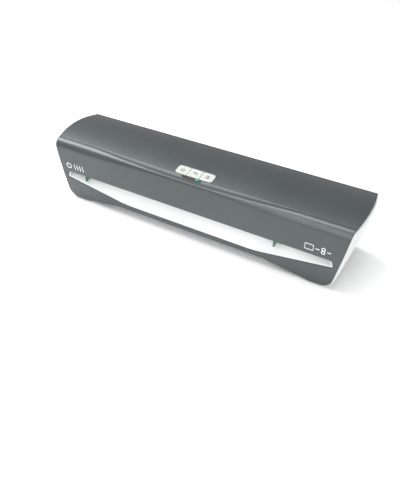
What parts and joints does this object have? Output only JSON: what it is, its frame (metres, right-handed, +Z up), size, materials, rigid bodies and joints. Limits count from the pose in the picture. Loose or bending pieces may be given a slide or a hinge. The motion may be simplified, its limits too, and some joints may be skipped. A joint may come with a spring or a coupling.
{
  "type": "pouch laminator",
  "caption": "Long slim pouch laminator with a dark wrap-round cover, light end caps, a wide entry mouth with sliding green guides and a three-button bar",
  "frame": {"origin": "centre of the bounding box at ground level, under the feet", "axes": "+X along the machine to the right seen from the front, +Y from the entry mouth to the exit slot, +Z up"},
  "size_m": [0.4666, 0.103, 0.0984],
  "materials": {
    "cover": "satin metallic graphite moulded ABS",
    "body": "satin light grey moulded ABS",
    "guide_green": "translucent green moulded plastic",
    "button": "satin off-white moulded plastic",
    "black_plastic": "fine matt black",
    "strip": "smoked gloss lens",
    "board": "glass-fibre circuit board with green resist",
    "green_lens": "lit green light",
    "red_lens": "unlit red light",
    "zinc_steel": "zinc-plated sheet steel",
    "steel": "ground bright steel",
    "silicone": "red-brown silicone rubber",
    "bronze": "oil-filled sintered bronze",
    "nylon": "natural moulded nylon",
    "heater": "extruded, as drawn",
    "rubber": "matt black rubber"
  },
  "bodies": {
    "housing": {"top_cover": "cover", "left_end_cap": "body", "right_end_cap": "body", "rear_panel": "body", "base_plate": "body", "lower_entry_guide": "body", "upper_entry_guide": "body", "lower_exit_guide": "body", "upper_exit_guide": "body", "standby_switch": "black_plastic", "reverse_switch": "black_plastic", "thickness_switch": "black_plastic", "thermostat": "black_plastic", "mains_inlet": "black_plastic", "status_light_strip": "strip", "control_board": "board", "power_board": "board", "green_light": "green_lens", "red_light": "red_lens", "left_side_frame": "zinc_steel", "right_side_frame": "zinc_steel", "drive_motor": "zinc_steel", "left_pressure_spring": "steel", "right_pressure_spring": "steel", "front_tie_bar": "steel", "rear_tie_bar": "steel", "idler_pin": "steel", "lower_hot_left_bush": "bronze", "lower_hot_right_bush": "bronze", "upper_hot_left_bush": "bronze", "upper_hot_right_bush": "bronze", "lower_pull_left_bush": "bronze", "lower_pull_right_bush": "bronze", "upper_pull_left_bush": "bronze", "upper_pull_right_bush": "bronze", "lower_heater_shoe": "heater", "upper_heater_shoe": "heater", "front_left_foot": "rubber", "front_right_foot": "rubber", "rear_left_foot": "rubber", "rear_right_foot": "rubber"},
    "standby_button": {"standby_button": "button"},
    "reverse_button": {"reverse_button": "button"},
    "thickness_button": {"thickness_button": "button"},
    "left_pouch_guide": {"left_pouch_guide": "guide_green"},
    "right_pouch_guide": {"right_pouch_guide": "guide_green"},
    "lower_hot_roller": {"lower_hot_shaft": "steel", "lower_hot_sleeve": "silicone", "lower_hot_gear": "nylon"},
    "upper_hot_roller": {"upper_hot_shaft": "steel", "upper_hot_sleeve": "silicone", "upper_hot_gear": "nylon"},
    "lower_pull_roller": {"lower_pull_shaft": "steel", "lower_pull_sleeve": "silicone", "lower_pull_gear": "nylon"},
    "upper_pull_roller": {"upper_pull_shaft": "steel", "upper_pull_sleeve": "silicone", "upper_pull_gear": "nylon"},
    "idler": {"idler_gear": "nylon"},
    "pinion": {"motor_pinion": "bronze"}
  },
  "joints": [
    {"name": "standby_press", "type": "slide", "parent": "housing", "child": "standby_button", "axis": [0, 0.1788, -0.9839], "range_m": [0, 0.0008], "stiffness_N_per_m": 300, "springref_m": -0.0005},
    {"name": "reverse_press", "type": "slide", "parent": "housing", "child": "reverse_button", "axis": [0, 0.1788, -0.9839], "range_m": [0, 0.0008], "stiffness_N_per_m": 300, "springref_m": -0.0005},
    {"name": "thickness_press", "type": "slide", "parent": "housing", "child": "thickness_button", "axis": [0, 0.1788, -0.9839], "range_m": [0, 0.0008], "stiffness_N_per_m": 300, "springref_m": -0.0005},
    {"name": "left_guide_slide", "type": "slide", "parent": "housing", "child": "left_pouch_guide", "axis": [1, 0, 0], "range_m": [-0.005, 0.1345]},
    {"name": "right_guide_slide", "type": "slide", "parent": "housing", "child": "right_pouch_guide", "axis": [1, 0, 0], "range_m": [-0.09, 0.0495]},
    {"name": "lower_hot_spin", "type": "hinge", "parent": "housing", "child": "lower_hot_roller", "pos_m": [0, -0.002, 0.0303], "axis": [1, 0, 0], "continuous": true},
    {"name": "upper_hot_spin", "type": "hinge", "parent": "housing", "child": "upper_hot_roller", "pos_m": [0, -0.002, 0.0527], "axis": [1, 0, 0], "continuous": true},
    {"name": "lower_pull_spin", "type": "hinge", "parent": "housing", "child": "lower_pull_roller", "pos_m": [0, 0.024, 0.0335], "axis": [1, 0, 0], "continuous": true},
    {"name": "upper_pull_spin", "type": "hinge", "parent": "housing", "child": "upper_pull_roller", "pos_m": [0, 0.024, 0.0495], "axis": [1, 0, 0], "continuous": true},
    {"name": "idler_spin", "type": "hinge", "parent": "housing", "child": "idler", "pos_m": [0.191, 0.01456, 0.02058], "axis": [1, 0, 0], "continuous": true},
    {"name": "pinion_spin", "type": "hinge", "parent": "housing", "child": "pinion", "pos_m": [0.191, 0.00829, 0.06496], "axis": [1, 0, 0], "continuous": true}
  ],
  "couplings": [
    {"joint": "upper_hot_spin", "follows": "lower_hot_spin", "ratio": -1},
    {"joint": "idler_spin", "follows": "lower_hot_spin", "ratio": -1.4},
    {"joint": "lower_pull_spin", "follows": "lower_hot_spin", "ratio": 1.4},
    {"joint": "upper_pull_spin", "follows": "lower_hot_spin", "ratio": -1.4},
    {"joint": "pinion_spin", "follows": "lower_hot_spin", "ratio": 2.3333}
  ]
}
